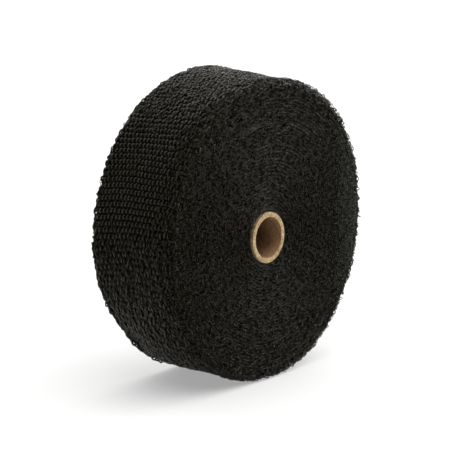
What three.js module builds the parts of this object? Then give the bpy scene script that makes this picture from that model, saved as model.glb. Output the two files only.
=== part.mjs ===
// Roll of woven glass-fibre heat wrap on its cardboard core, standing on its tread.
// Millimetres, +Z up. The roll's axis runs along Y, and the end that is seen faces -Y.
// The origin is on the floor, under the middle of the roll.

import * as THREE from 'three';

// Tape
const tapeWidth = 50;
const tapeThickness = 1.6; // as it lies in the roll
const tapeLength = 10000;

// Cardboard core
const coreOuterDiameter = 24.4;
const coreWall = 2.4;
const coreProud = 0.5; // past the first turn, at each end
const fitGap = 0.3; // between the core and the first turn

// Form of the wound roll
const endDish = 2; // how much deeper the first turn lies than the rim
const rimRound = 4.8; // where the ends turn into the tread
const ridgeHeight = 0.7; // of a turn's edge over the line where two turns meet
const coreDrop = 3.8; // the core has sunk this far below the roll's middle
const coreSide = 2; // and this far towards -X

// Fineness of the round shapes
const facets = 32; // round the axis, with one of them on the floor
const rimSteps = 5;

// The tape's side area fills the ring between the bore and the tread
const boreRadius = coreOuterDiameter / 2 + fitGap;
const rollRadius = Math.sqrt((tapeLength * tapeThickness) / Math.PI + boreRadius ** 2);
const turns = Math.round((rollRadius - boreRadius) / tapeThickness);
const turnPitch = (rollRadius - boreRadius) / turns;
const coreLength = tapeWidth - 2 * (endDish - coreProud);

// Radii are measured to the middle of a facet, so a corner lies a little further out
const cornerScale = 1 / Math.cos(Math.PI / facets);
const firstCorner = Math.PI / facets;

const wrapMaterial = new THREE.MeshStandardMaterial({ color: 0x282725, roughness: 0.95, metalness: 0 });
const cardboardMaterial = new THREE.MeshStandardMaterial({ color: 0xc4a77c, roughness: 0.85, metalness: 0 });

// Turns a profile of [radius, place along the axis] pairs, closed on itself, round the Y axis
function turned(profile) {
  const points = [...profile, profile[0]].map(([radius, y]) => new THREE.Vector2(radius * cornerScale, y));
  return new THREE.LatheGeometry(points, facets, firstCorner);
}

// Half the roll's width at a radius: the ends are dished towards the core
function halfWidth(radius) {
  const inward = (rollRadius - radius) / (rollRadius - boreRadius);
  return tapeWidth / 2 - endDish * inward ** 2;
}

// One end of the roll, from the bore to the tread: a ridge for each turn, then the round rim
function endProfile() {
  const profile = [];
  const rimStart = rollRadius - rimRound;
  for (let turn = 0; turn < turns; turn += 1) {
    const valley = boreRadius + turn * turnPitch;
    const crest = valley + turnPitch / 2;
    if (crest + turnPitch / 2 <= rimStart) {
      profile.push([valley, halfWidth(valley) - ridgeHeight]);
      profile.push([crest, halfWidth(crest)]);
    }
  }
  for (let step = 0; step <= rimSteps; step += 1) {
    const angle = (Math.PI / 2) * (step / rimSteps);
    const radius = rimStart + rimRound * Math.sin(angle);
    profile.push([radius, tapeWidth / 2 - rimRound * (1 - Math.cos(angle))]);
  }
  return profile;
}

// Moves each ring of a turned shape off the middle, from nothing at the tread to all at the bore
function sink(geometry) {
  const position = geometry.attributes.position;
  for (let i = 0; i < position.count; i += 1) {
    const x = position.getX(i);
    const z = position.getZ(i);
    const inward = (rollRadius - Math.hypot(x, z) / cornerScale) / (rollRadius - boreRadius);
    position.setX(i, x - coreSide * inward);
    position.setZ(i, z - coreDrop * inward);
  }
  return geometry;
}

function wrapRoll() {
  const end = endProfile();
  const front = end.map(([radius, y]) => [radius, -y]);
  const mesh = new THREE.Mesh(sink(turned([...front, ...end.reverse()])), wrapMaterial);
  mesh.name = 'wrap_roll';
  return mesh;
}

function coreTube() {
  const outer = coreOuterDiameter / 2;
  const inner = outer - coreWall;
  const end = coreLength / 2;
  const mesh = new THREE.Mesh(turned([[inner, -end], [outer, -end], [outer, end], [inner, end]]), cardboardMaterial);
  mesh.name = 'core_tube';
  mesh.position.set(-coreSide, 0, -coreDrop);
  return mesh;
}

const roll = new THREE.Group();
roll.position.z = rollRadius;
roll.add(wrapRoll());
roll.add(coreTube());

export default roll;
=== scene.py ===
import math

import bpy
import numpy as np
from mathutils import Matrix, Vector


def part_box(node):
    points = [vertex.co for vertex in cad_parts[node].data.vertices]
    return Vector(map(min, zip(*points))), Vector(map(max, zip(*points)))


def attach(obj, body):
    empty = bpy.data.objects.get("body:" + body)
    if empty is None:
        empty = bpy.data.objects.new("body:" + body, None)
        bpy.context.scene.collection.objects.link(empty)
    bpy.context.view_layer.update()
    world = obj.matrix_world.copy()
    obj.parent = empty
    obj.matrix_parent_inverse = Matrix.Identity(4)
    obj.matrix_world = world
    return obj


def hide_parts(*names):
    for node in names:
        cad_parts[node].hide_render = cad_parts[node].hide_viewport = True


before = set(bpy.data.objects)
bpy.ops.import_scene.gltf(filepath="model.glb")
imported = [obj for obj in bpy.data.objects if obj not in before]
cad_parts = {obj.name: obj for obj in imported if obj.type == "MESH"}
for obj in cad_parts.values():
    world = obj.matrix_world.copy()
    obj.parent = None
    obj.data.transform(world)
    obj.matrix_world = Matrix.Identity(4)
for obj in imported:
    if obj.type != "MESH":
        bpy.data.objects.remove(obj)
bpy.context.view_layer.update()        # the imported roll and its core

mm = 0.001


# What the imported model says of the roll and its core

rollLow, rollHigh = (np.array(corner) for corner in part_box("wrap_roll"))
coreLow, coreHigh = (np.array(corner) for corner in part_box("core_tube"))
rollRadius = (rollHigh[2] - rollLow[2]) / 2
halfWidth = (rollHigh[1] - rollLow[1]) / 2
coreRadius = (coreHigh[2] - coreLow[2]) / 2
coreShift = (coreLow + coreHigh - rollLow - rollHigh) / 2   # of the core's middle from the roll's

roll = {
    "tape": 1.6 * mm,        # thickness of one turn
    "turns": 37,
    "boreGap": 0.3 * mm,     # from the core to the first turn
    "rimRound": 4.8 * mm,    # where the ends turn into the tread
    "endDish": 2.0 * mm,     # how much deeper the first turn lies than the rim
    "freeEnd": 72,           # where the tape stops, in degrees from the top, clockwise seen from the front
    "windStep": 0.5,         # share of the tape's thickness that the tread steps down there
    "foldFront": 1.9 * mm,   # how far the last turns' front edge is folded in over the rim
    "foldBack": 0.4 * mm,
    "foldTurns": 2.2,        # over how many turns that folding dies away
    # Where a rim stands out or has sunk in: millimetres, degrees from the top of its middle and half its
    # spread, and where along the axis it starts and is full, in millimetres
    "dents": [
        (1.7, 14, 22, 8, 22),
        (-1.9, 3, 26, 6, -20),
        (1.2, -94, 13, 6, 22),
        (-1.6, -132, 11, 6, 22),
        (0.8, 160, 22, 0, -20),
    ],
    "dentFade": 8,           # power of the radius by which a dent dies away towards the core
}
boreRadius = coreRadius + roll["boreGap"]
turnPitch = (rollRadius - boreRadius) / (roll["turns"] + 0.5)
flatHalf = halfWidth - roll["rimRound"]
endRadius = rollRadius + 0.5 * roll["tape"] * roll["windStep"]   # of the tread at the tape's free end


# Shapes

# Share of a turn from the free end, at an angle from the top: 0 just past the end, 1 just before it
def windShare(theta):
    return ((theta - math.radians(roll["freeEnd"])) / (2 * math.pi)) % 1.0


# Radius of the tread at an angle: a spiral that gains a tape's thickness in a turn
def treadRadius(theta):
    return rollRadius + roll["tape"] * roll["windStep"] * (windShare(theta) - 0.5)


# Goes smoothly from 0 to 1 while the share does
def ease(share):
    share = np.clip(share, 0, 1)
    return share ** 2 * (3 - 2 * share)


# How far a dented rim stands out: smooth bumps round the roll, each growing across the tape
def outOfRound(theta, along):
    total = 0
    for height, middle, spread, start, full in roll["dents"]:
        turned = (theta - math.radians(middle) + math.pi) % (2 * math.pi) - math.pi
        bump = height * mm * np.exp(-(turned / math.radians(spread)) ** 2)
        total = total + bump * ease((along / mm - start) / (full - start))
    return total


# Point at an angle from the top, a radius and a place along the axis. Rings are centred on the roll's
# middle at the tread and on the core's middle at the bore, and in between in proportion
def place(theta, radius, along):
    inward = (rollRadius - radius) / (rollRadius - boreRadius)
    radius = radius + outOfRound(theta, along) * (radius / rollRadius) ** roll["dentFade"]
    x = radius * np.sin(theta) + coreShift[0] * inward
    z = rollRadius + radius * np.cos(theta) + coreShift[2] * inward
    x, along, z = np.broadcast_arrays(x, along, z)
    return np.stack([x, along, z], axis=-1)


# Unit vectors at an angle: away from the axis, and along the tape in the direction it is wound
def radialWay(theta):
    return np.stack([np.sin(theta), np.zeros_like(theta), np.cos(theta)], axis=-1)


def windWay(theta):
    return np.stack([np.cos(theta), np.zeros_like(theta), -np.sin(theta)], axis=-1)


axialWay = np.array([0.0, 1.0, 0.0])


# Section across the tread at a length s from its middle: straight, then a quarter circle round each rim.
# Gives the place along the axis, the drop below the tread and the angle that the surface has turned
def treadSection(s):
    turned = np.clip((np.abs(s) - flatHalf) / roll["rimRound"], 0, math.pi / 2)
    along = np.sign(s) * (np.minimum(np.abs(s), flatHalf) + roll["rimRound"] * np.sin(turned))
    return along, roll["rimRound"] * (1 - np.cos(turned)), np.sign(s) * turned


# Section of an end at a depth in from the tread: the same quarter circle, then a shallow dish.
# Gives the height over the roll's middle plane and how far the surface leans out from the axis
def endSection(depth):
    lean = np.arcsin(np.clip(1 - depth / roll["rimRound"], 0, 1))
    inward = np.clip(depth / (rollRadius - boreRadius), 0, 1)
    return halfWidth - roll["rimRound"] * (1 - np.cos(lean)) - roll["endDish"] * inward ** 2, lean


# How far in from the tread the edge of turn n lies, counted from the outside, and folded in near the rim
def edgeDepth(turn, fold):
    return turnPitch * (turn + 0.5) + fold * np.exp(-turn / roll["foldTurns"])


# Smooth unevenness over two coordinates: a sum of sines with seeded waves, between about -1 and 1
def unevenness(seed, a, b, wavesA, wavesB, count=7):
    draw = np.random.default_rng(seed)
    total = 0
    for _ in range(count):
        stepsA = draw.integers(1, wavesA + 1)
        stepsB = draw.uniform(-wavesB, wavesB)
        total = total + np.sin(stepsA * a + stepsB * b + draw.uniform(0, 2 * math.pi))
    return total / math.sqrt(count)


def unit(vectors):
    return vectors / np.linalg.norm(vectors, axis=-1, keepdims=True)


# Presses what would reach under the floor flat onto it: the height becomes the logarithm of 1 plus its
# exponential, both in units of the reach, which high up is the height itself
def onFloor(points, lift=0.02 * mm, reach=0.5 * mm, far=20):
    z = points[..., 2]
    over = np.maximum(z - lift, -far * reach) / reach
    points[..., 2] = lift + reach * np.where(over > far, over, np.log1p(np.exp(np.minimum(over, far))))
    return points


# Puts points and faces into a new mesh object with a yarn UV map in millimetres and a tone for each point
def putMesh(name, points, faces, uv, tone, finish):
    mesh = bpy.data.meshes.new(name)
    mesh.from_pydata(points.reshape(-1, 3), [], [face for some in faces for face in some.tolist()])
    corners = np.empty(len(mesh.loops), np.int32)
    mesh.loops.foreach_get("vertex_index", corners)
    layer = mesh.uv_layers.new(name="yarn")
    layer.data.foreach_set("uv", uv.reshape(-1, 2)[corners].astype(np.float32).ravel())
    toneLayer = mesh.attributes.new("tone", "FLOAT", "POINT")
    toneLayer.data.foreach_set("value", tone.astype(np.float32).ravel())
    mesh.polygons.foreach_set("use_smooth", np.ones(len(mesh.polygons), bool))
    mesh.materials.append(finish)
    mesh.update()
    piece = bpy.data.objects.new(name, mesh)
    bpy.context.scene.collection.objects.link(piece)
    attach(piece, "root")
    triangles = sum(len(some) * (some.shape[1] - 2) for some in faces)
    print(f"{name}: {len(mesh.vertices)} points, {triangles} triangles")
    return piece


# Faces of a grid of rows by columns, each way closed on itself or open
def gridFaces(rows, columns, closeRows=False, closeColumns=False):
    r = np.arange(rows if closeRows else rows - 1)[:, None]
    c = np.arange(columns if closeColumns else columns - 1)[None, :]
    nextR, nextC = (r + 1) % rows, (c + 1) % columns
    corner = [r * columns + c, r * columns + nextC, nextR * columns + nextC, nextR * columns + c]
    return np.stack(np.broadcast_arrays(*corner), axis=-1).reshape(-1, 4)


yarnGirth = 3.0   # millimetres round a yarn on its UV map


# Yarns: an ellipse of the given half width and half depth is carried along each path of points, its depth
# turned towards the guide, and each end is closed on a point. Paths are yarns by rings by xyz
def yarns(name, paths, guide, halfWide, halfDeep, tone, finish, sides=5):
    count, rings = paths.shape[:2]
    tangent = unit(np.gradient(paths, axis=1))
    deep = unit(guide - (guide * tangent).sum(-1, keepdims=True) * tangent)
    wide = np.cross(deep, tangent)
    angle = 2 * math.pi * np.arange(sides) / sides - math.pi / 2
    halfWide = np.broadcast_to(halfWide, (count, rings))[..., None, None]
    halfDeep = np.broadcast_to(halfDeep, (count, rings))[..., None, None]
    skin = paths[:, :, None] + wide[:, :, None] * halfWide * np.cos(angle)[:, None]
    skin = skin + deep[:, :, None] * halfDeep * np.sin(angle)[:, None]
    points = np.concatenate([skin.reshape(count, -1, 3), paths[:, :1], paths[:, -1:]], axis=1)
    each = rings * sides + 2
    quads = gridFaces(rings, sides, closeColumns=True)
    a = np.arange(sides)
    b = (a + 1) % sides
    lastRing = (rings - 1) * sides
    first = np.stack([np.full(sides, each - 2), b, a], axis=-1)
    last = np.stack([np.full(sides, each - 1), lastRing + a, lastRing + b], axis=-1)
    start = (np.arange(count) * each)[:, None, None]
    faces = [(quads + start).reshape(-1, 4), (np.concatenate([first, last]) + start).reshape(-1, 3)]
    length = np.linalg.norm(np.diff(paths, axis=1, prepend=paths[:, :1]), axis=-1).cumsum(axis=1) / mm
    girth = np.broadcast_to(a / sides * yarnGirth, (count, rings, sides))
    uv = np.stack([np.broadcast_to(length[..., None], girth.shape), girth], axis=-1).reshape(count, -1, 2)
    uv = np.concatenate([uv, uv[:, :1], uv[:, -1:]], axis=1)
    toneEach = np.broadcast_to(np.reshape(tone, (-1, 1)), (count, each))
    return putMesh(name, onFloor(points), faces, uv, toneEach, finish)


# Materials

# One socket of a node tree. Sums and products of it, with numbers or each other, add Math nodes
class Wire:
    def __init__(self, paint, socket):
        self.paint = paint
        self.socket = socket

    def combine(self, operation, *values):
        return self.paint.node("ShaderNodeMath", {"operation": operation}, dict(enumerate(values)))

    def __add__(self, other):
        return self.combine("ADD", self, other)

    def __sub__(self, other):
        return self.combine("SUBTRACT", self, other)

    def __rsub__(self, other):
        return self.combine("SUBTRACT", other, self)

    def __mul__(self, other):
        return self.combine("MULTIPLY", self, other)

    def __truediv__(self, other):
        return self.combine("DIVIDE", self, other)

    def __pow__(self, other):
        return self.combine("POWER", self, other)

    __radd__ = __add__
    __rmul__ = __mul__


# One node tree. node() adds any node: its type, its settings, then the values or links of its sockets
class Nodes:
    def __init__(self, tree):
        self.tree = tree

    def node(self, kind, settings, sockets, output=0):
        made = self.tree.nodes.new(kind)
        for key, value in settings.items():
            setattr(made, key, value)
        for key, value in sockets.items():
            self.plug(made.inputs[key], value)
        return Wire(self, made.outputs[output])

    def plug(self, socket, value):
        if isinstance(value, Wire):
            self.tree.links.new(value.socket, socket)
        else:
            socket.default_value = value

    def mix(self, a, b, factor):
        settings = {"data_type": "RGBA"}
        return self.node("ShaderNodeMix", settings, {0: factor, 6: a, 7: b}, 2)


class Paint(Nodes):
    def __init__(self, name):
        self.material = bpy.data.materials.new(name)
        self.material.use_nodes = True
        super().__init__(self.material.node_tree)
        self.shader = self.tree.nodes["Principled BSDF"]

    def finish(self, sockets):
        for key, value in sockets.items():
            self.plug(self.shader.inputs[key], value)
        return self.material


wrapFinish = {
    "dark": (0.0008, 0.0007, 0.0004),     # linear colours of the black yarn, from its darkest
    "light": (0.0055, 0.0048, 0.0030),
    "warm": (0.022, 0.014, 0.007),        # of its browner specks
    "paintedSheen": (0.036, 0.037, 0.033),        # and a painted sheen that makes it paler along the +X side, standing in for light grazing that rim
    "paintedSheenStart": 0.67,                    # shares of the roll's radius where that starts and is full
    "paintedSheenFull": 1.0,
    "roughness": 0.34,
    "tint": (1.0, 0.92, 0.66),            # of its gloss
    "fibres": 26.0,                       # fine lines across a yarn, per millimetre
    "streaks": 1.2,                       # and how fast they change along it
    "blotches": 60.0,                     # scales of the blotches and the specks, per metre
    "specks": 700.0,
    "speckSharp": 3,                      # how sharply the specks set in, and how few there are
    "speckFew": 1.85,
    # How much of the way from dark to light comes from each yarn's tone, its fibres and the blotches, and
    # how far the start lies below dark
    "shares": (0.55, 0.35, 0.3),
    "below": 0.1,
    "glossier": 0.15,                     # how much smoother the bright fibres are
    "bump": 0.12 * mm,
}


# Black glass yarn: a tone for each yarn, blotches, browner specks, fine lines along it, and a painted sheen
# that makes it paler towards the +X side
def yarnPaint(name, shade, gloss):
    paint = Paint(name)
    tone = paint.node("ShaderNodeAttribute", {"attribute_name": "tone"}, {}, 2)
    where = paint.node("ShaderNodeTexCoord", {}, {}, "Object")
    yarn = paint.node("ShaderNodeUVMap", {"uv_map": "yarn"}, {})
    stretch = (wrapFinish["streaks"], wrapFinish["fibres"], 1)
    along = paint.node("ShaderNodeMapping", {}, {"Vector": yarn, "Scale": stretch})
    fibres = paint.node("ShaderNodeTexNoise", {}, {"Vector": along, "Scale": 1.0, "Detail": 3.0})
    blotchSockets = {"Vector": where, "Scale": wrapFinish["blotches"], "Detail": 2.0}
    blotch = paint.node("ShaderNodeTexNoise", {}, blotchSockets)
    ofTone, ofFibres, ofBlotch = wrapFinish["shares"]
    amount = tone * ofTone + fibres * ofFibres + blotch * ofBlotch - wrapFinish["below"]
    dark = tuple(shade * c for c in wrapFinish["dark"])
    light = tuple(shade * c for c in wrapFinish["light"])
    color = paint.mix((*dark, 1), (*light, 1), amount)
    speckSockets = {"Vector": where, "Scale": wrapFinish["specks"], "Detail": 1.0}
    speck = paint.node("ShaderNodeTexNoise", {}, speckSockets)
    warmth = speck * wrapFinish["speckSharp"] - wrapFinish["speckFew"]
    color = paint.mix(color, (*wrapFinish["warm"], 1), warmth)
    # painted sheen: the colour goes paler towards +X, in place of light grazing the rim on that side
    share = paint.node("ShaderNodeSeparateXYZ", {}, {"Vector": where}, 0) / rollRadius
    sheenAmount = (share - wrapFinish["paintedSheenStart"]) / (wrapFinish["paintedSheenFull"] - wrapFinish["paintedSheenStart"])
    color = paint.mix(color, (*wrapFinish["paintedSheen"], 1), sheenAmount)
    bumpSockets = {"Strength": 0.7, "Distance": wrapFinish["bump"], "Height": fibres}
    return paint.finish({
        "Base Color": color,
        "Roughness": wrapFinish["roughness"] - fibres * wrapFinish["glossier"],
        "Specular IOR Level": gloss,
        "Specular Tint": (*wrapFinish["tint"], 1),
        "Normal": paint.node("ShaderNodeBump", {}, bumpSockets),
    })


# How dark each yarn's colour is made and the strength of its gloss; the two darker copies are painted
# shade, on the roll's ends and in the grooves and holes between yarns
yarnBlack = yarnPaint("glass_yarn", 1.0, 0.42)
curlShadedBlack = yarnPaint("glass_yarn_curled_shaded", 0.8, 0.18)
underShadedBlack = yarnPaint("glass_yarn_under_painted_shade", 0.4, 0.08)
print("yarn finishes made")


# The weave of the tread

weave = {
    "picks": 158,              # weft ribs round the tread, an even number
    "ends": 44,                # warp yarns across the tape
    "margin": 0.4 * mm,        # from the outermost of them to the tape's edge
    "samples": 6,              # grid points of the weft for each rib
    "columns": 42,             # and across the tape
    "ribDepth": 1.1 * mm,      # of the grooves between ribs
    "ribTop": -0.42 * mm,      # of a rib's back under the tread's nominal surface
    "flattened": 0.5,          # share by which the grooves are shallower where the weave is brushed
    "floatTop": 0.18 * mm,     # where a warp yarn crosses a rib
    "floatDive": 1.25 * mm,    # how far its ends dive between ribs
    "floatWide": 0.44 * mm,    # half its width
    "floatDeep": 0.36 * mm,    # half its depth
    "floatHalf": 0.44,         # half its length, in ribs, before floatLonger is added
    "floatStray": 0.05,        # how far it strays along the tape, in ribs
    "floatSlant": 0.09 * mm,   # and across the tape at its middle, and more at its ends
    "floatTwist": 0.08 * mm,
    "floatBob": 0.07 * mm,     # and up and down
    "floatTaper": 0.35,        # share by which its ends are narrower
    "floatSizes": (0.75, 1.12),  # least and greatest share of its width
    "floatRough": 2.5,         # how many times more uneven the floats get where the weave is brushed
    "floatLonger": 0.07,       # added to half its length once everywhere, and again for each such time
    "bowStart": 2.0 * mm,      # from here to the back edge the ribs bend against the winding
    "bowRise": 2.6 * mm,
    "wander": 0.35 * mm,       # of the ribs round the roll
    "swell": 0.30 * mm,        # of the tread's surface, up and down
}


# How far round the roll a rib is shifted at a length s across the tape
def ribBow(s, turn):
    climb = np.clip((s - weave["bowStart"]) / (halfWidth - weave["bowStart"]), 0, 1)
    return weave["wander"] * unevenness(11, turn, s / mm, 9, 0.16) - weave["bowRise"] * climb ** 1.5


# The skin of the tread in ribs and lengths across: gives the point at a height over its nominal surface,
# and the way out of the surface there
def treadSkin(rib, s, height):
    turn = rib * (2 * math.pi / weave["picks"])
    theta = turn + ribBow(s, turn) / rollRadius
    along, drop, lean = treadSection(s)
    height = height + weave["swell"] * unevenness(12, turn, s / mm, 8, 0.2)
    radius = treadRadius(theta) - drop + height * np.cos(lean)
    way = radialWay(theta) * np.cos(lean)[..., None] + axialWay * np.sin(lean)[..., None]
    return place(theta, radius, along + height * np.sin(lean)), way


# Length across the tread from its middle to the outermost turn's edge, which is folded in over the rim
def foldedHalf(fold):
    return flatHalf + roll["rimRound"] * math.acos(1 - edgeDepth(0, fold) / roll["rimRound"])


edgeFront = -foldedHalf(roll["foldFront"])
edgeBack = foldedHalf(roll["foldBack"])
endPlaces = np.linspace(edgeFront + weave["margin"], edgeBack - weave["margin"], weave["ends"])

fuzz = {
    "tries": 6600,
    "least": 0.04,           # share of the tries kept where the weave lies open
    "start": -7.0 * mm,      # from here to the front rim it gets thicker
    # By height over the roll's middle as a share of its radius, where it starts and over how much it grows:
    # downwards, and upwards to the given share at the top
    "lowStart": 0.2,
    "lowGrow": 0.4,
    "topStart": 0.6,
    "topGrow": 0.3,
    "topShare": 0.6,
    "aim": 0.45,             # radians from the tape's direction, and how much more at the front rim
    "aimFront": 1.2,
    "turn": (0.3, 2.8),      # radians that a fibre bends through
    "long": (2.2, 4.8),      # millimetres
    "high": (0.6, 1.2),      # millimetres from its ends to its top
    "flat": 0.45,            # share of that height away from the front rim, where it is 1 more
    "foot": 0.35 * mm,       # how far its ends lie under the surface
    "half": (0.13, 0.28),    # millimetres, half its thickness
}


# How much of the weave the brushed fibres hide, from 0 to 1: along the front rim, low down and at the top
def brushed(pick, s):
    high = np.cos(2 * math.pi * pick / weave["picks"])
    front = ease((fuzz["start"] - s) / (fuzz["start"] - edgeFront))
    low = ease((fuzz["lowStart"] - high) / fuzz["lowGrow"])
    top = fuzz["topShare"] * ease((high - fuzz["topStart"]) / fuzz["topGrow"])
    return 1 - (1 - front) * (1 - low) * (1 - top)


# Weft ribs: half circles side by side round the roll, grid of rib phase by length across
def makeTread():
    rib = np.arange(weave["picks"] * weave["samples"]) / weave["samples"]
    s = np.linspace(edgeFront, edgeBack, weave["columns"])
    rib, s = np.meshgrid(rib, s, indexing="ij")
    phase = 2 * np.abs(rib - np.round(rib))
    groove = weave["ribDepth"] * (1 - weave["flattened"] * brushed(rib, s))
    points, _ = treadSkin(rib, s, weave["ribTop"] - groove * (1 - np.sqrt(np.clip(1 - phase ** 2, 0, 1))))
    uv = np.stack([s / mm, rib * yarnGirth], axis=-1)
    # a low tone and the darker under yarn: painted shade in the grooves between the floats
    tone = 0.25 + 0.2 * unevenness(13, rib * 0.04, s / mm, 12, 0.5)
    faces = [gridFaces(*rib.shape, closeRows=True)]
    return putMesh("tread_weft", onFloor(points), faces, uv, tone, underShadedBlack)


# Warp floats: where a warp yarn passes over every second rib, an arch of yarn whose ends dive between ribs.
# Its height is a parabola, and its place, slant, width and tone vary from float to float
def makeFloats():
    draw = np.random.default_rng(21)
    pick, end = np.meshgrid(np.arange(weave["picks"]), np.arange(weave["ends"]), indexing="ij")
    over = (pick + end) % 2 == 0
    pick, end = pick[over], end[over]
    count = len(pick)
    step = np.linspace(-1, 1, 5)[None, :]
    rough = 1 + weave["floatRough"] * brushed(pick, endPlaces[end])[:, None]
    half = weave["floatHalf"] + weave["floatLonger"] * rough
    rib = pick[:, None] + weave["floatStray"] * rough * draw.normal(0, 1, (count, 1)) + half * step
    slant = draw.normal(0, weave["floatSlant"], (count, 1))
    slant = slant + draw.normal(0, weave["floatTwist"], (count, 1)) * step
    s = endPlaces[end][:, None] + slant * rough
    crown = weave["floatTop"] + weave["floatBob"] * rough * draw.normal(0, 1, (count, 1))
    height = crown - weave["floatDeep"] - weave["floatDive"] * step ** 2
    paths, way = treadSkin(rib, s, height)
    wide = weave["floatWide"] * draw.uniform(*weave["floatSizes"], (count, 1))
    wide = wide * (1 - weave["floatTaper"] * step ** 2)
    tone = draw.uniform(0.0, 1.0, count) ** 1.5   # more dark yarns than light ones
    return yarns("tread_warp", paths, way, wide, weave["floatDeep"], tone, yarnBlack)


# Loose fibres brushed over the weave: arcs of a circle that rise and fall in a half wave, mostly along the
# tape, and any way beside the front rim
def makeFuzz():
    draw = np.random.default_rng(23)
    pick = draw.uniform(0, weave["picks"], fuzz["tries"])
    s = draw.uniform(edgeFront, edgeBack, fuzz["tries"])
    kept = draw.uniform(0, 1, fuzz["tries"]) < fuzz["least"] + (1 - fuzz["least"]) * brushed(pick, s)
    pick, s = pick[kept, None], s[kept, None]
    count = len(pick)
    step = np.linspace(-0.5, 0.5, 5)[None, :]
    nearFront = ease((fuzz["start"] - s) / (fuzz["start"] - edgeFront))
    aim = draw.normal(0, 1, (count, 1)) * (fuzz["aim"] + fuzz["aimFront"] * nearFront)
    bend = draw.uniform(*fuzz["turn"], (count, 1)) * draw.choice([-1, 1], (count, 1))
    long = draw.uniform(*fuzz["long"], (count, 1)) * mm
    around = long / bend * (np.sin(aim + bend * step) - np.sin(aim))
    across = long / bend * (np.cos(aim) - np.cos(aim + bend * step))
    high = draw.uniform(*fuzz["high"], (count, 1)) * mm * (fuzz["flat"] + nearFront)
    height = high * np.cos(math.pi * step) - fuzz["foot"]
    rib = pick + around * weave["picks"] / (2 * math.pi * rollRadius)
    paths, way = treadSkin(rib, np.clip(s + across, edgeFront, edgeBack), height)
    thick = draw.uniform(*fuzz["half"], (count, 1)) * mm
    return yarns("tread_fuzz", paths, way, thick, thick, draw.uniform(0, 1, count), curlShadedBlack, 3)


fray = {
    "yarns": 170,
    "inset": 0.8 * mm,       # of the outermost ones from the tape's edges
    "wander": 0.3 * mm,      # of their feet across the tape
    "splay": 0.7 * mm,       # and of their tips
    "back": 2.5,             # millimetres: how far before the cut they start
    "past": (0.5, 3.5),      # millimetres: how far past it they end
    "rise": 0.1,             # millimetres over the surface
    "lift": 0.9,             # millimetres that a tip rises or falls at most
    "half": (0.22, 0.36),    # millimetres, half their thickness
    "flat": 0.8,             # their depth as a share of their width
}


# The cut end of the tape: frayed yarns across the tread that reach past it, some lifted and some lying
# down, straight round the roll with a rise and a splay that grow with the square of the way along
def makeTapeEnd():
    draw = np.random.default_rng(25)
    count = fray["yarns"]
    s = np.linspace(edgeFront + fray["inset"], edgeBack - fray["inset"], count)[:, None]
    s = s + draw.normal(0, fray["wander"], (count, 1))
    step = np.linspace(0, 1, 6)[None, :]
    around = (step * (fray["back"] + draw.uniform(*fray["past"], (count, 1)))) * mm - fray["back"] * mm
    lift = (fray["rise"] + draw.uniform(-fray["lift"], fray["lift"], (count, 1)) * step ** 2) * mm
    along, drop, lean = treadSection(s + draw.normal(0, fray["splay"], (count, 1)) * step ** 2)
    theta = math.radians(roll["freeEnd"]) + around / rollRadius
    radius = endRadius - drop + lift * np.cos(lean)
    paths = place(theta, radius, along + lift * np.sin(lean))
    thick = draw.uniform(*fray["half"], (count, 1)) * mm
    tone = draw.uniform(0, 1, count)
    return yarns("tape_end", paths, radialWay(theta), thick, thick * fray["flat"], tone, yarnBlack)


# The ends of the roll

ends = {
    "sections": 144,           # of the backing round the roll
    "start": 1.2 * mm,         # how far in from the tread the backing starts
    "sink": 1.1 * mm,          # of the backing under the nominal end
    "ridge": 0.5 * mm,         # of a turn over the line between two turns
    "cordHalf": 0.32 * mm,     # half the cord's thickness
    "cordDeep": 0.9 * mm,      # of the cord under the nominal end
    "cordWave": 0.4 * mm,      # of its waves across the turns
    "cordRise": 0.3 * mm,      # and out of the end
    "cordDrift": 0.3 * mm,     # of its slower drift across the turns
    "cordSwell": 0.2 * mm,     # and out of the end
    "foot": 1.0 * mm,          # of curls and loops under the nominal end
    "curlPitch": 2.87 * mm,    # along the tape, from curl to curl
    "curlWander": 0.7 * mm,    # of a curl from its place, along and across the tape
    "curlLong": (2.4, 4.2),    # millimetres of yarn that show
    "curlTurn": (0.6, 4.6),    # radians that a curl bends through
    "curlHigh": (0.8, 2.0),    # millimetres from its foot to its top
    "curlHalf": (0.18, 0.32),  # millimetres, half the yarn's thickness
    "curlPressed": 0.4,        # share by which they are lower on the outermost turn
    "pressedTurns": 1.6,       # and over how many turns from the outside that dies away
    "innerStart": 0.70,        # share of the tape's length from where the curls begin to lie along it
    "innerGrow": 0.28,         # and over how much more they have
    "innerAim": 0.8,           # shares by which they are then aimed less away from it,
    "innerReach": 0.5,         # reach less far across the turns
    "innerWander": 0.7,        # and wander less across them
    "curlTilt": 0.25 * mm,     # how much one half of a curl rises and the other falls
    "curlFlat": 0.85,          # the yarn's depth as a share of its width
    "loopPitch": 2.87 * mm,    # of the loops, which stand on this many turns from the outside
    "loopTurns": 1.2,
    "loopHigh": (0.6, 1.5),    # millimetres
    "loopFront": 0.5,          # share of that height at the front
    "loopReach": (0.9, 1.7),   # millimetres, half the way from foot to foot
    "loopWiden": 0.3,          # share by which a loop is wider near its top
    "loopWander": 0.5 * mm,    # of a loop along the tape, and of its top across the turns
    "loopLean": 0.4 * mm,      # of its top along the tape
    "loopStray": 0.3 * mm,     # of the whole loop across the turns
    "loopHalf": (0.42, 0.62),  # millimetres, half the yarn's thickness
    "loopFlat": 0.8,           # its depth as a share of its width
    "blunt": 0.7,             # power that makes the tops of curls and loops blunter than a sine wave
}


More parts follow.
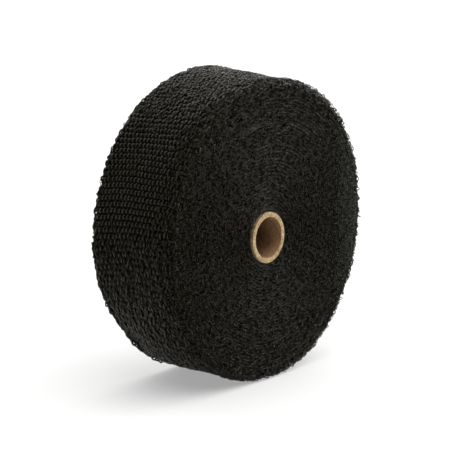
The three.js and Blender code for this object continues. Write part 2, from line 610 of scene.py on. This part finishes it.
# The layered turns under the loops: a dished ring with a ridge for each turn, which follows the winding
def makeBacking(name, side):
    theta = np.linspace(0, 2 * math.pi, ends["sections"], endpoint=False)
    row = np.linspace(0, roll["turns"], roll["turns"] * 3 + 1)
    theta, row = np.meshgrid(theta, row, indexing="ij")
    depth = ends["start"] + row * turnPitch
    radius = np.maximum(treadRadius(theta) - depth, coreRadius + 0.1 * mm)
    height, _ = endSection(depth)
    height = height - ends["sink"] + ends["ridge"] * np.abs(np.sin(math.pi * row))
    points = place(theta, radius, side * height)
    faces = gridFaces(*theta.shape, closeRows=True)
    if side > 0:
        faces = faces[:, ::-1]
    uv = np.stack([theta * 30, row * 1.6], axis=-1)
    # the darker under yarn at a low tone: painted shade in the holes between the curls and loops
    return putMesh(name, onFloor(points), [faces], uv, np.full(theta.size, 0.1), underShadedBlack)


# Points along the tape's edge, from the free end inwards: angle, radius, depth in from the tread, and the
# length of tape up to there. The radius falls in step with the angle, and faster in the folded turns
def tapeEdge(steps, fold):
    turn = np.linspace(0, roll["turns"] - 0.02, steps)
    theta = math.radians(roll["freeEnd"]) - 2 * math.pi * turn
    depth = edgeDepth(turn, fold) - turnPitch * 0.5
    radius = endRadius - depth
    length = np.concatenate([[0], np.cumsum(2 * math.pi * np.diff(turn) * radius[1:])])
    return theta, radius, depth, length


# The outermost warp yarn of the edge: one cord that follows the tape through all its turns in small waves
def makeCord(name, side, fold, seed):
    theta, radius, depth, length = tapeEdge(4000, fold)
    wave = 2 * math.pi * length / (2 * ends["curlPitch"])
    drift = unevenness(seed, length / (20 * mm), 0 * length, 9, 0)
    radius = radius + ends["cordWave"] * np.sin(wave) + ends["cordDrift"] * drift
    height, lean = endSection(depth)
    height = height - ends["cordDeep"] + ends["cordRise"] * np.cos(wave + 1.0)
    height = height + ends["cordSwell"] * unevenness(seed + 1, length / (15 * mm), 0 * length, 9, 0)
    paths = place(theta, radius, side * height)[None]
    guide = radialWay(theta) * np.sin(lean)[:, None] + side * axialWay * np.cos(lean)[:, None]
    return yarns(name, paths, guide[None], ends["cordHalf"], ends["cordHalf"], 0.5, curlShadedBlack, 4)


# Places along the tape's edge, and paths from there: out of the end, along the tape and across the turns
def edgePaths(spot, side, fold, out, along, across):
    theta, radius, depth, length = tapeEdge(40000, fold)
    theta, radius, depth = (np.interp(spot, length, values) for values in (theta, radius, depth))
    height, lean = endSection(depth)
    lean = lean[:, None, None]
    outWay = radialWay(theta)[:, None] * np.sin(lean) + side * axialWay * np.cos(lean)
    alongWay = windWay(theta)[:, None]
    acrossWay = radialWay(theta)[:, None] * np.cos(lean) - side * axialWay * np.sin(lean)
    base = place(theta, radius, side * height)[:, None]
    paths = base + outWay * out[..., None] + alongWay * along[..., None] + acrossWay * across[..., None]
    return paths, np.broadcast_to(outWay, paths.shape)


# Curls of weft on the edge of every turn. Each is an arc of a circle over the end, aimed more or less along
# the tape, which rises out of the end and dives back in a half wave
def makeCurls(name, side, fold, seed):
    draw = np.random.default_rng(seed)
    total = tapeEdge(4000, fold)[3][-1]
    count = int(total / ends["curlPitch"])
    spot = (np.arange(count) + 0.5) * ends["curlPitch"] + draw.normal(0, ends["curlWander"], count)
    step = np.linspace(-0.5, 0.5, 7)[None, :]
    # near the core they lie along the tape, so that its turns show
    inner = ease((spot / total - ends["innerStart"]) / ends["innerGrow"])[:, None]
    aim = draw.uniform(-math.pi, math.pi, (count, 1)) * (1 - ends["innerAim"] * inner)
    bend = draw.uniform(*ends["curlTurn"], (count, 1)) * draw.choice([-1, 1], (count, 1))
    long = draw.uniform(*ends["curlLong"], (count, 1)) * mm
    along = long / bend * (np.sin(aim + bend * step) - np.sin(aim))
    across = long / bend * (np.cos(aim) - np.cos(aim + bend * step)) * (1 - ends["innerReach"] * inner)
    across = across + draw.normal(0, ends["curlWander"], (count, 1)) * (1 - ends["innerWander"] * inner)
    rise = np.cos(math.pi * step)
    outerness = ease(ends["pressedTurns"] - spot / (2 * math.pi * rollRadius))[:, None]
    high = draw.uniform(*ends["curlHigh"], (count, 1)) * mm * (1 - ends["curlPressed"] * outerness)
    out = high * rise ** ends["blunt"] - ends["foot"]
    out = out + draw.normal(0, ends["curlTilt"], (count, 1)) * np.sin(2 * math.pi * step)
    paths, guide = edgePaths(spot, side, fold, out, along, across)
    thick = draw.uniform(*ends["curlHalf"], (count, 1)) * mm
    tone = draw.uniform(0.0, 1.0, count)
    return yarns(name, paths, guide, thick, thick * ends["curlFlat"], tone, curlShadedBlack, 4)


# Loops of the outermost turn, where the weft turns back at every second rib. Each is an arch: half a cosine
# wave along the tape, widened at its middle, by half a sine wave out of the end, made blunter at the top
def makeLoops(name, side, fold, seed):
    draw = np.random.default_rng(seed)
    count = int(2 * math.pi * rollRadius * ends["loopTurns"] / ends["loopPitch"])
    spot = (np.arange(count) + 0.5) * ends["loopPitch"] + draw.normal(0, ends["loopWander"], count)
    step = np.linspace(0, 1, 12)[None, :]
    rise = np.sin(math.pi * step)
    half = draw.uniform(*ends["loopReach"], (count, 1)) * mm
    along = -half * np.cos(math.pi * step) * (1 + ends["loopWiden"] * rise)
    along = along + draw.normal(0, ends["loopLean"], (count, 1)) * rise
    high = draw.uniform(*ends["loopHigh"], (count, 1)) * (1.0 if side > 0 else ends["loopFront"])
    out = high * mm * rise ** ends["blunt"] - ends["foot"]
    across = draw.normal(0, ends["loopWander"], (count, 1)) * rise
    across = across + draw.normal(0, ends["loopStray"], (count, 1))
    paths, guide = edgePaths(spot, side, fold, out, along, across)
    thick = draw.uniform(*ends["loopHalf"], (count, 1)) * mm
    tone = draw.uniform(0.0, 1.0, count)
    return yarns(name, paths, guide, thick, thick * ends["loopFlat"], tone, curlShadedBlack, 6)


treadWeft = makeTread()
pieces = [treadWeft, makeFloats(), makeFuzz(), makeTapeEnd()]
for word, side, fold, seed in (("front", -1, roll["foldFront"], 31), ("back", 1, roll["foldBack"], 41)):
    pieces.append(makeBacking(f"turns_{word}", side))
    pieces.append(makeCord(f"edge_cord_{word}", side, fold, seed))
    pieces.append(makeCurls(f"edge_curls_{word}", side, fold, seed + 5))
    pieces.append(makeLoops(f"edge_loops_{word}", side, fold, seed + 7))
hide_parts("wrap_roll")


# The cardboard core

core = {
    "wall": 2.4 * mm,
    "edge": 0.25 * mm,                 # rounding of its cut edges
    "sections": 144,                   # round the axis
    "cut": (0.50, 0.37, 0.20),         # linear colours of the cut ends and of the dark lines in them
    "cutDark": (0.10, 0.064, 0.030),
    "bore": (0.34, 0.20, 0.098),       # and of the board inside; deep in the bore its colour goes towards the dark one as painted shade
    "boreDark": (0.095, 0.045, 0.022),
    "grain": 900.0,                    # scales of the fibres and the blotches, per metre
    "blotches": 160.0,
    "plies": 0.6 * mm,
    "twist": 34.0,                     # turns of the spiral seam in a metre
    "seam": 0.012,                     # half its width, as a share of a turn
    "uvRadius": 12.0,                  # millimetres, for its UV map
}


# Kraft board: fibrous cut ends with the rings of the plies, and a smooth browner bore with a spiral seam,
# painted darker deep inside as shade
def corePaint():
    paint = Paint("kraft_board")
    where = paint.node("ShaderNodeTexCoord", {}, {}, "Object")
    inside = paint.node("ShaderNodeAttribute", {"attribute_name": "tone"}, {}, 2)
    grain = paint.node("ShaderNodeTexNoise", {}, {"Vector": where, "Scale": core["grain"], "Detail": 4.0})
    blotchSockets = {"Vector": where, "Scale": core["blotches"], "Detail": 3.0}
    blotch = paint.node("ShaderNodeTexNoise", {}, blotchSockets)
    middle = tuple((coreLow + coreHigh) / 2)
    offset = paint.node("ShaderNodeVectorMath", {"operation": "SUBTRACT"}, {0: where, 1: middle})
    x, y, z = (paint.node("ShaderNodeSeparateXYZ", {}, {"Vector": offset}, k) for k in range(3))
    radius = (x * x + z * z) ** 0.5
    ply = radius * (2 * math.pi / core["plies"]) + blotch * 5
    rings = paint.node("ShaderNodeMath", {"operation": "SINE"}, {0: ply})
    around = paint.node("ShaderNodeMath", {"operation": "ARCTAN2"}, {0: x, 1: z}) / (2 * math.pi)
    spiral = paint.node("ShaderNodeMath", {"operation": "FRACT"}, {0: around + y * core["twist"] + 2.0})
    seam = paint.node("ShaderNodeMath", {"operation": "COMPARE"}, {0: spiral, 1: 0.5, 2: core["seam"]})
    amount = grain * 2.2 + blotch * 0.7 - 0.9
    # painted shade in the bore: darker deep inside, lighter towards both openings where light reaches in
    paintedOpeningLight = (y * y) / (0.5 * (coreHigh[1] - coreLow[1])) ** 2
    cut = paint.mix((*core["cutDark"], 1), (*core["cut"], 1), amount + rings * 0.16)
    boreAmount = amount * 0.6 + paintedOpeningLight * 0.7 - 0.3 - seam * 0.4
    bore = paint.mix((*core["boreDark"], 1), (*core["bore"], 1), boreAmount)
    bumpSockets = {"Strength": 0.6, "Distance": 0.1 * mm, "Height": grain}
    normal = paint.node("ShaderNodeBump", {}, bumpSockets)
    return paint.finish({
        "Base Color": paint.mix(cut, bore, inside),
        "Roughness": 0.85,
        "Specular IOR Level": 0.2,
        "Normal": normal,
    })


# The tube: a closed section with rounded cut edges, turned round the axis. Its tone is 1 in the bore
def makeCore():
    outer = coreRadius
    inner = coreRadius - core["wall"]
    half = (coreHigh[1] - coreLow[1]) / 2
    edge = core["edge"]
    corners = [
        (outer - edge, half - edge),
        (inner + edge, half - edge),
        (inner + edge, edge - half),
        (outer - edge, edge - half),
    ]
    arcs = [np.linspace(0, math.pi / 2, 4) + k * math.pi / 2 for k in range(4)]
    section = np.concatenate([
        np.stack([middleR + edge * np.cos(arc), middleY + edge * np.sin(arc)], axis=-1)
        for (middleR, middleY), arc in zip(corners, arcs)
    ])
    theta = np.linspace(0, 2 * math.pi, core["sections"], endpoint=False)[:, None]
    middle = (coreLow + coreHigh) / 2
    radius, along = section[:, 0][None], section[:, 1][None]
    x = middle[0] + radius * np.sin(theta)
    z = middle[2] + radius * np.cos(theta)
    points = np.stack(np.broadcast_arrays(x, middle[1] + along, z), axis=-1)
    uv = np.stack(np.broadcast_arrays(theta * core["uvRadius"], along / mm), axis=-1)
    faces = gridFaces(*points.shape[:2], closeRows=True, closeColumns=True)
    inside = np.broadcast_to(radius <= inner + 0.2 * edge, points.shape[:2])
    return putMesh("core_board", points, [faces], uv, inside, corePaint())


coreBoard = makeCore()
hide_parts("core_tube")


# Floor, light and camera

studio = {
    "floorHalf": 6.0,        # metres, half the floor's side
    "floorColor": (0.47, 0.47, 0.464),
    "floorGlow": 0.35,       # the floor is a panel lit from below
    "wallBack": 2.6,         # light from the white wall behind the roll, which the camera sees as 1
    "wallFront": 0.02,       # and from the dark side of the room, behind the camera
    "wallFall": 3.0,         # how fast it falls off between them
    # Lamps: strength, degrees across, and the way towards it: to the camera's right, up, to the camera
    "overhead": (3.7, 85, (0.22, 1.0, 0.12)),
    "side": (3.0, 50, (0.95, 0.2, -0.38)),
}
view = {
    "azimuth": -51.03,       # degrees
    "elevation": 10.95,
    "distance": 0.824,       # from the roll's middle
    "lens": 137.3,           # millimetres, as is the sensor's width
    "sensor": 36,
    "aimAside": -3.72 * mm,  # of the picture's middle from the roll's middle
    "aimUp": -0.9 * mm,
}


# From the roll towards the camera
def lookBack():
    a = math.radians(view["azimuth"])
    e = math.radians(view["elevation"])
    return Vector((math.sin(a) * math.cos(e), -math.cos(a) * math.cos(e), math.sin(e)))


def cameraRight():
    return Vector((0, 0, 1)).cross(lookBack()).normalized()


def makeFloor():
    half = studio["floorHalf"]
    corners = [(-half, -half, 0), (half, -half, 0), (half, half, 0), (-half, half, 0)]
    mesh = bpy.data.meshes.new("floor")
    mesh.from_pydata(corners, [], [(0, 1, 2, 3)])
    mesh.materials.append(Paint("floor_white").finish({
        "Base Color": (*studio["floorColor"], 1),
        "Roughness": 0.9,
        "Emission Color": (1, 1, 1, 1),
        "Emission Strength": studio["floorGlow"],
    }))
    floor = bpy.data.objects.new("floor", mesh)
    bpy.context.scene.collection.objects.link(floor)


# White walls that shine brighter the further they lie behind the roll, and look plain white to the camera
def makeWalls():
    world = bpy.data.worlds.new("studio")
    world.use_nodes = True
    sky = Nodes(world.node_tree)
    way = sky.node("ShaderNodeTexCoord", {}, {}, "Generated")
    facing = sky.node("ShaderNodeVectorMath", {"operation": "DOT_PRODUCT"}, {0: way, 1: lookBack()}, 1)
    behind = (0.5 - facing * 0.5) ** studio["wallFall"]
    walls = behind * (studio["wallBack"] - studio["wallFront"]) + studio["wallFront"]
    seen = sky.node("ShaderNodeLightPath", {}, {}, "Is Camera Ray")
    background = world.node_tree.nodes["Background"]
    background.inputs["Color"].default_value = (1, 1, 1, 1)
    sky.plug(background.inputs["Strength"], seen * (1 - walls) + walls)
    bpy.context.scene.world = world


def makeLamp(name):
    strength, spread, (right, up, back) = studio[name]
    light = bpy.data.lights.new(name, "SUN")
    light.angle = math.radians(spread)
    light.energy = strength
    lamp = bpy.data.objects.new(name, light)
    towards = cameraRight() * right + Vector((0, 0, up)) + lookBack() * back
    lamp.rotation_euler = towards.to_track_quat("Z", "Y").to_euler()
    bpy.context.scene.collection.objects.link(lamp)


def makeCamera():
    back = lookBack()
    right = cameraRight()
    up = back.cross(right)
    middle = Vector((0, 0, rollRadius))
    aim = middle + right * view["aimAside"] + up * view["aimUp"]
    camera = bpy.data.objects.new("camera", bpy.data.cameras.new("camera"))
    camera.location = middle + back * view["distance"]
    camera.rotation_euler = (aim - camera.location).to_track_quat("-Z", "Y").to_euler()
    camera.data.lens = view["lens"]
    camera.data.sensor_width = view["sensor"]
    camera.data.clip_start = 0.01
    camera.data.clip_end = 100
    bpy.context.scene.collection.objects.link(camera)
    bpy.context.scene.camera = camera


makeFloor()
makeWalls()
makeLamp("overhead")
makeLamp("side")
makeCamera()
bpy.context.scene.view_settings.view_transform = "Standard"
print("floor, light and camera placed")
